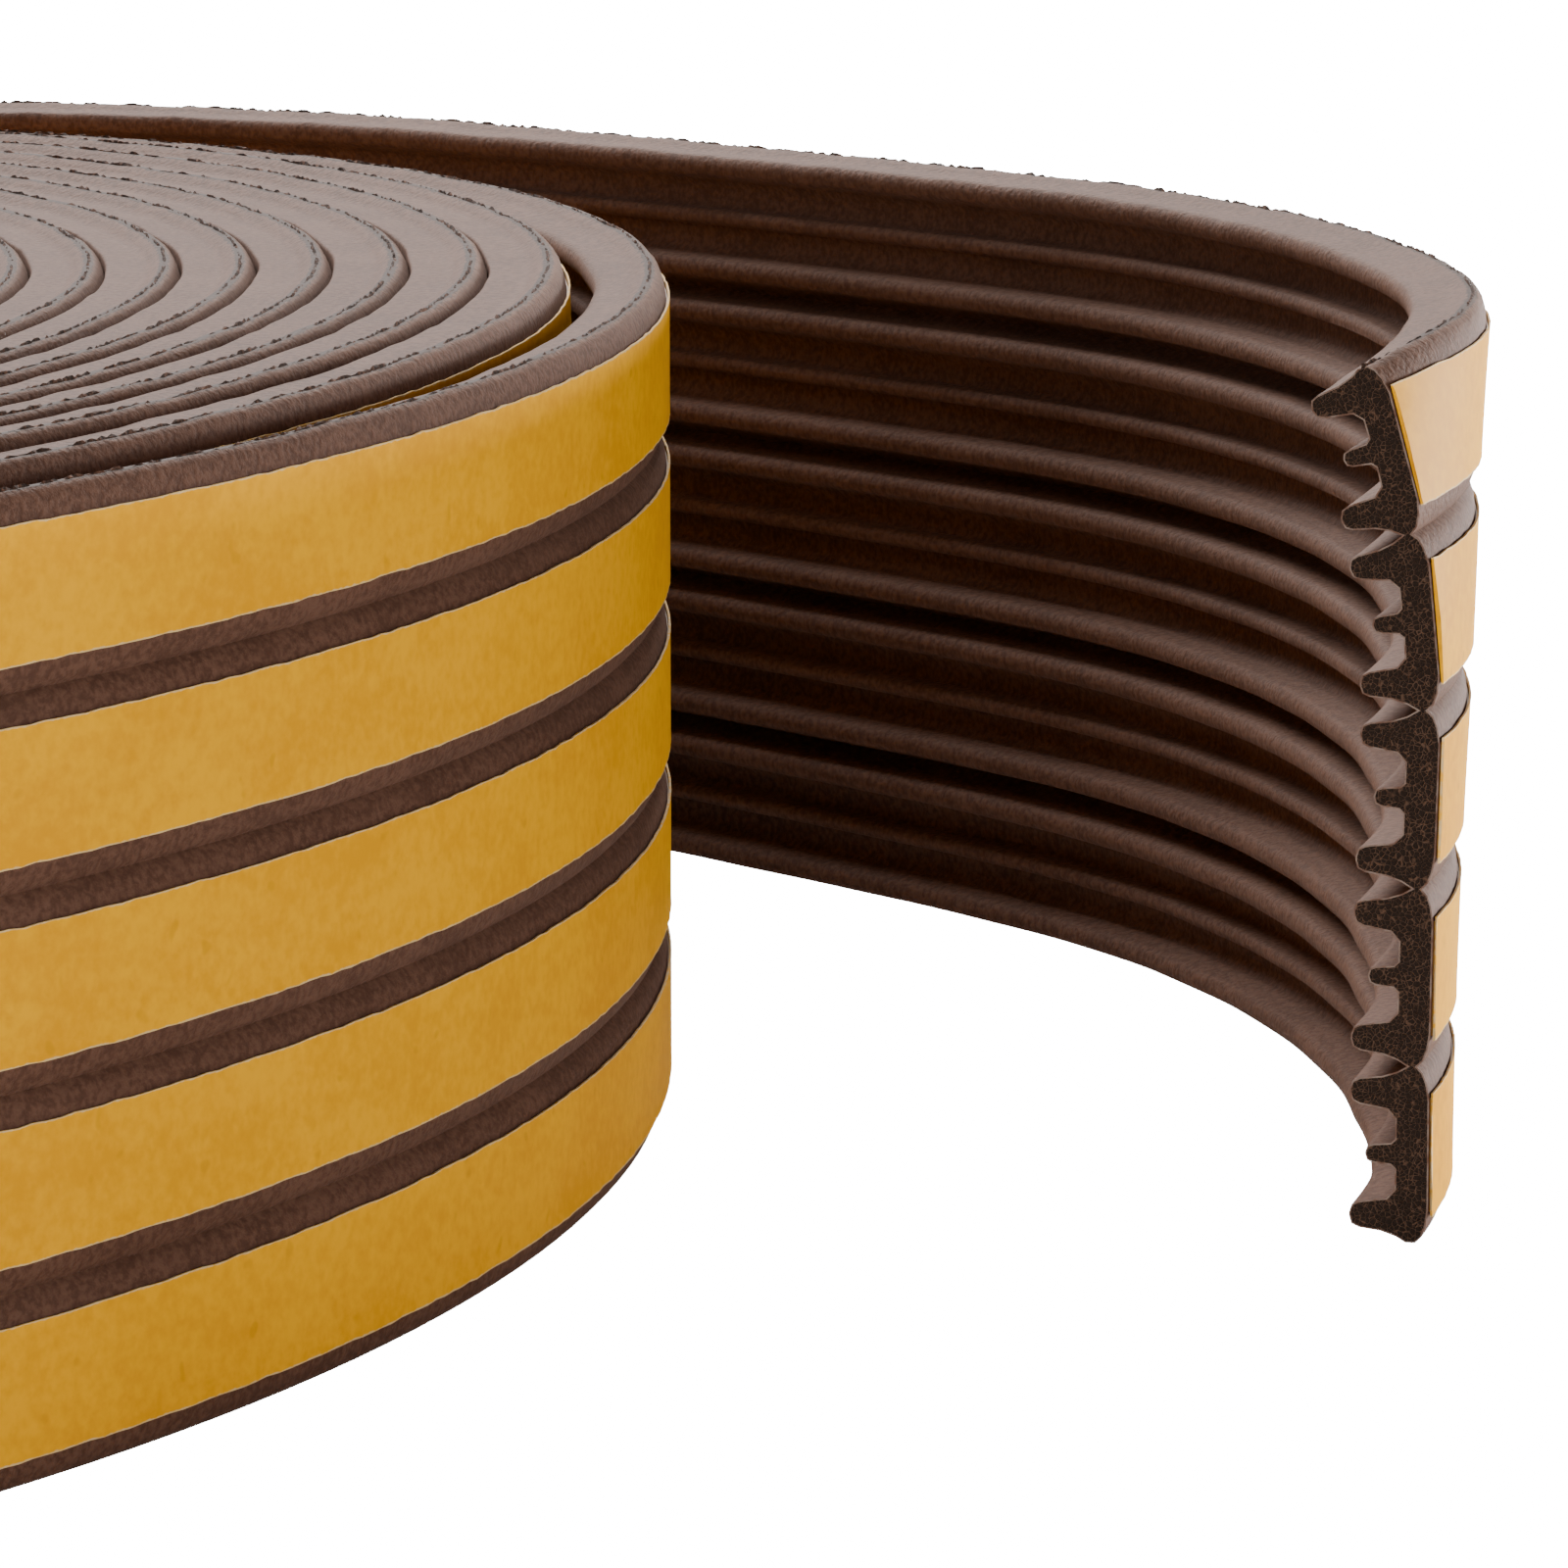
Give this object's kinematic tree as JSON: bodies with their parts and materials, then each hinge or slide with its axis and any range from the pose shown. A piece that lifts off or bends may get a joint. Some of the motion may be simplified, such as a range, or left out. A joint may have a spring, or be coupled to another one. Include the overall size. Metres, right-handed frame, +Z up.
{
  "type": "self-adhesive window seal coil",
  "caption": "Coil of brown cellular rubber E-profile window seal, lanes joined edge to edge, yellow release paper on each lane, standing on its end with a free curled tail.",
  "frame": {"origin": "middle of the part's plan outline to within half a millimetre, on the level it stands on", "axes": "+Z up along the coil's axis, +X to the right towards the tail's curl, +Y to the back where the tail leaves the coil"},
  "size_m": [0.2742, 0.2378, 0.045],
  "materials": {
    "foam": "matt brown closed-cell foam rubber",
    "release_paper": "satin golden-yellow siliconised paper"
  },
  "bodies": {
    "root": {"seal_strip": "foam", "liner_1": "release_paper", "liner_2": "release_paper", "liner_3": "release_paper", "liner_4": "release_paper", "liner_5": "release_paper"}
  },
  "joints": []
}
